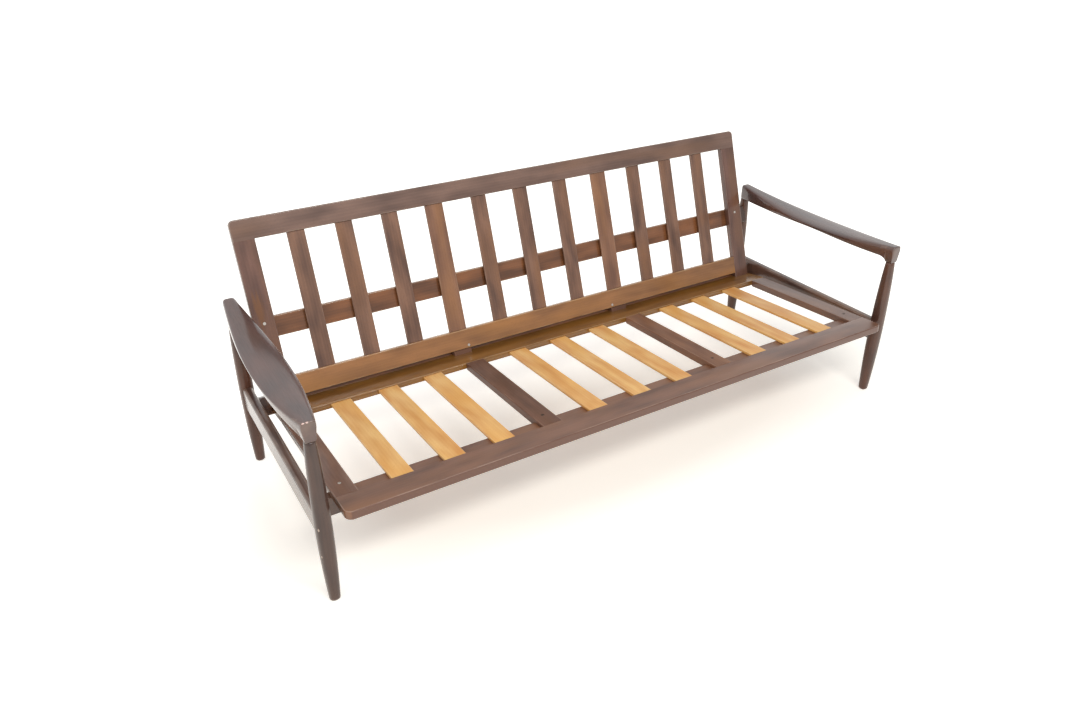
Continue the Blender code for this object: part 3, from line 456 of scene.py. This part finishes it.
# Back slats: eleven thin strips of beech with round edges, stained, lacquered and tenoned into both rails.
# The wider two, over the cross bars of the seat, are of warmer wood.
back_wood = stained_beech("mid_stained_beech_lacquered", "#5f4235", "#926b54", "#966742", "#9c7a66")
wide_wood = stained_beech("light_stained_beech_lacquered", "#78523e", "#9f7255", "#a57241", "#a98468")
for number in range(1, 12):
    board(f"back_slat_{number}", wide_wood if number in (4, 8) else back_wood, UP, FRONT, BACK_LEAN)

# Cleats: two short blocks of beech, sawn to fill the gap between the seat's rear rail and the bottom rail of
# the back, under the two wide slats. They take the dark, thinly lacquered wood of the first cross bar as
# painted shade, for the shadow they stand in under the bottom rail.
for number in (1, 2):
    board(f"back_cleat_{number}", dark_bar_wood, ACROSS, FRONT, BACK_LEAN)

# Screws: countersunk steel wood screws with slotted heads, turned and zinc plated, driven by hand so that
# the slots lie every way. Zinc on steel is a soft grey mirror with dull spots; three heads have gone dark
# with grime. They are drawn from their CAD solids as the boards are.


def turned_zinc(name, dull, bright):
    spot_mm = 1.5
    made = bpy.data.materials.new(name)
    made.use_nodes = True
    tree = made.node_tree
    place = add_node(tree, "ShaderNodeTexCoord", {}).outputs["Object"]
    spots = add_node(tree, "ShaderNodeTexNoise",
                     {"Vector": place, "Scale": 1000 / spot_mm, "Detail": 2.0}).outputs["Fac"]
    colour = add_node(tree, "ShaderNodeMix", {0: spots, 6: linear(dull), 7: linear(bright)},
                      data_type="RGBA").outputs[2]
    # Lacquer and dirt have gathered in the outer 0.7 mm, next to the wood, and the shade of the gap round the
    # head is painted there too.
    flat = add_node(tree, "ShaderNodeVectorMath", {0: place, 1: (1.0, 1.0, 0.0)},
                    operation="MULTIPLY").outputs[0]
    radius = add_node(tree, "ShaderNodeVectorMath", {0: flat}, operation="LENGTH").outputs["Value"]
    rim_dirt_and_shade = add_node(tree, "ShaderNodeMapRange",
                   {"Value": radius, "From Min": 0.0040, "From Max": 0.0046}).outputs[0]
    colour = add_node(tree, "ShaderNodeMix", {0: rim_dirt_and_shade, 6: colour, 7: linear("#3a2d26")},
                      data_type="RGBA").outputs[2]
    gloss = add_node(tree, "ShaderNodeMapRange", {"Value": spots, "To Min": 0.40, "To Max": 0.22}).outputs[0]
    shader = tree.nodes["Principled BSDF"]
    shader.inputs["Metallic"].default_value = 1.0
    tree.links.new(colour, shader.inputs["Base Color"])
    tree.links.new(gloss, shader.inputs["Roughness"])
    return made


zinc = turned_zinc("zinc_plated_steel_turned", "#bcb4aa", "#e6e0d8")
grimed_zinc = turned_zinc("zinc_plated_steel_grimed", "#3f332c", "#75685e")
for name, metal in (("end_rail_left_screw", zinc), ("end_rail_right_screw", grimed_zinc),
                    ("cross_bar_1_screw", grimed_zinc), ("cross_bar_2_screw", grimed_zinc)):
    board(name, metal, ACROSS, UP, SEAT_LEAN)
for name in ("stile_screw_left", "stile_screw_right", "cleat_screw_1", "cleat_screw_2"):
    board(name, zinc, ACROSS, FRONT, BACK_LEAN)

# Floor: a plain pale studio floor, rolled with matt paint, that runs out of sight. It glows white to the
# camera and in reflections, less near the frame, which paints a soft shade round it, and it still takes the
# frame's own soft shadow.
FLOOR_HALF_SIZE, FLOOR_BELOW_FEET = 40.0, 0.0003
SHADE_MIDDLE, SHADE_RADII = (0.0, -0.12, 0.0), (1.15, 0.40)


def in_view(tree):
    """Two outputs: 1 for a camera ray, and 1 for that or a ray from a reflection or through glass."""
    rays = add_node(tree, "ShaderNodeLightPath", {}).outputs
    seen = rays["Is Camera Ray"]
    for kind in ("Is Glossy Ray", "Is Transmission Ray"):
        seen = add_node(tree, "ShaderNodeMath", {0: seen, 1: rays[kind]}, operation="MAXIMUM").outputs[0]
    return rays["Is Camera Ray"], seen


floor_mesh = bmesh.new()
bmesh.ops.create_grid(floor_mesh, x_segments=1, y_segments=1, size=FLOOR_HALF_SIZE)
floor_data = bpy.data.meshes.new("studio_floor")
floor_mesh.to_mesh(floor_data)
floor_mesh.free()
floor = bpy.data.objects.new("studio_floor", floor_data)
floor.location.z = -FLOOR_BELOW_FEET
bpy.context.scene.collection.objects.link(floor)
paint = bpy.data.materials.new("pale_floor_paint_rolled")
paint.use_nodes = True
tree = paint.node_tree
place = add_node(tree, "ShaderNodeTexCoord", {}).outputs["Object"]
away = add_node(tree, "ShaderNodeVectorMath", {0: place, 1: SHADE_MIDDLE}, operation="SUBTRACT").outputs[0]
away = add_node(tree, "ShaderNodeVectorMath", {0: away, 1: (1 / SHADE_RADII[0], 1 / SHADE_RADII[1], 0.0)},
                operation="MULTIPLY").outputs[0]
reach = add_node(tree, "ShaderNodeVectorMath", {0: away}, operation="LENGTH").outputs["Value"]
# The glow is weaker near the frame: painted shade on the floor round it.
lift = add_node(tree, "ShaderNodeMapRange", {"Value": reach, "From Min": 0.6, "From Max": 2.0,
                                             "To Min": 0.29, "To Max": 0.95}).outputs[0]
seen = in_view(tree)[1]
glow = add_node(tree, "ShaderNodeMath", {0: seen, 1: lift}, operation="MULTIPLY").outputs[0]
paint_colour = add_node(tree, "ShaderNodeMix", {0: seen, 6: linear("#e6d9c8"), 7: linear("#fff9ec")},
                        data_type="RGBA").outputs[2]
shader = tree.nodes["Principled BSDF"]
shader.inputs["Roughness"].default_value = 0.9
shader.inputs["Specular IOR Level"].default_value = 0.1
shader.inputs["Emission Color"].default_value = linear("#ffffff")
tree.links.new(paint_colour, shader.inputs["Base Color"])
tree.links.new(glow, shader.inputs["Emission Strength"])
floor_data.materials.append(paint)

# Studio light: a white wall behind the frame, a darker room behind the camera, a long soft box above it,
# which throws the shadow of the front rail under the seat, and a broad one to the left. The camera sees
# white from every side.
world = bpy.data.worlds.new("white_studio")
world.use_nodes = True
tree = world.node_tree
camera_ray, seen = in_view(tree)
level = add_node(tree, "ShaderNodeMapRange", {"Value": seen, "To Min": 0.46, "To Max": 1.0}).outputs[0]
look = add_node(tree, "ShaderNodeTexCoord", {}).outputs["Generated"]
back = add_node(tree, "ShaderNodeSeparateXYZ", {0: look}).outputs["Y"]
room = add_node(tree, "ShaderNodeMapRange", {"Value": back, "From Min": -0.6, "From Max": 0.2,
                                             "To Min": 0.75, "To Max": 1.0}).outputs[0]
room = add_node(tree, "ShaderNodeMapRange", {"Value": camera_ray, "To Min": room, "To Max": 1.0}).outputs[0]
level = add_node(tree, "ShaderNodeMath", {0: level, 1: room}, operation="MULTIPLY").outputs[0]
tree.links.new(level, tree.nodes["Background"].inputs["Strength"])
tree.nodes["Background"].inputs["Color"].default_value = linear("#ffffff")
bpy.context.scene.world = world
for name, wide, deep, power, place, aim in (
        ("front_soft_box", 2.4, 0.6, 58.0, (-0.4, -2.3, 2.8), (0.0, 0.0, 0.2)),
        ("left_soft_box", 2.5, 2.5, 18.0, (-3.0, -1.2, 1.8), (0.0, 0.0, 0.35))):
    soft_box = bpy.data.lights.new(name, "AREA")
    soft_box.shape = "RECTANGLE"
    soft_box.size = wide
    soft_box.size_y = deep
    soft_box.energy = power
    lamp = bpy.data.objects.new(name, soft_box)
    lamp.location = place
    lamp.rotation_euler = (Vector(aim) - Vector(place)).to_track_quat("-Z", "Y").to_euler()
    bpy.context.scene.collection.objects.link(lamp)

# Camera: at eye height in front of the left half of the frame, turned right and down to the seat, with a
# wide lens that takes in the whole frame.
CAMERA_PLACE, CAMERA_DOWN, CAMERA_RIGHT = (-1.3024, -1.9090, 1.5409), 0.5198, 0.5445
camera_data = bpy.data.cameras.new("camera")
camera_data.sensor_width = 36.0
camera_data.lens = 28.29
camera = bpy.data.objects.new("camera", camera_data)
camera.location = CAMERA_PLACE
camera.rotation_euler = (pi / 2 - CAMERA_DOWN, 0.0, -CAMERA_RIGHT)
bpy.context.scene.collection.objects.link(camera)
bpy.context.scene.camera = camera
bpy.context.scene.view_settings.view_transform = "Standard"
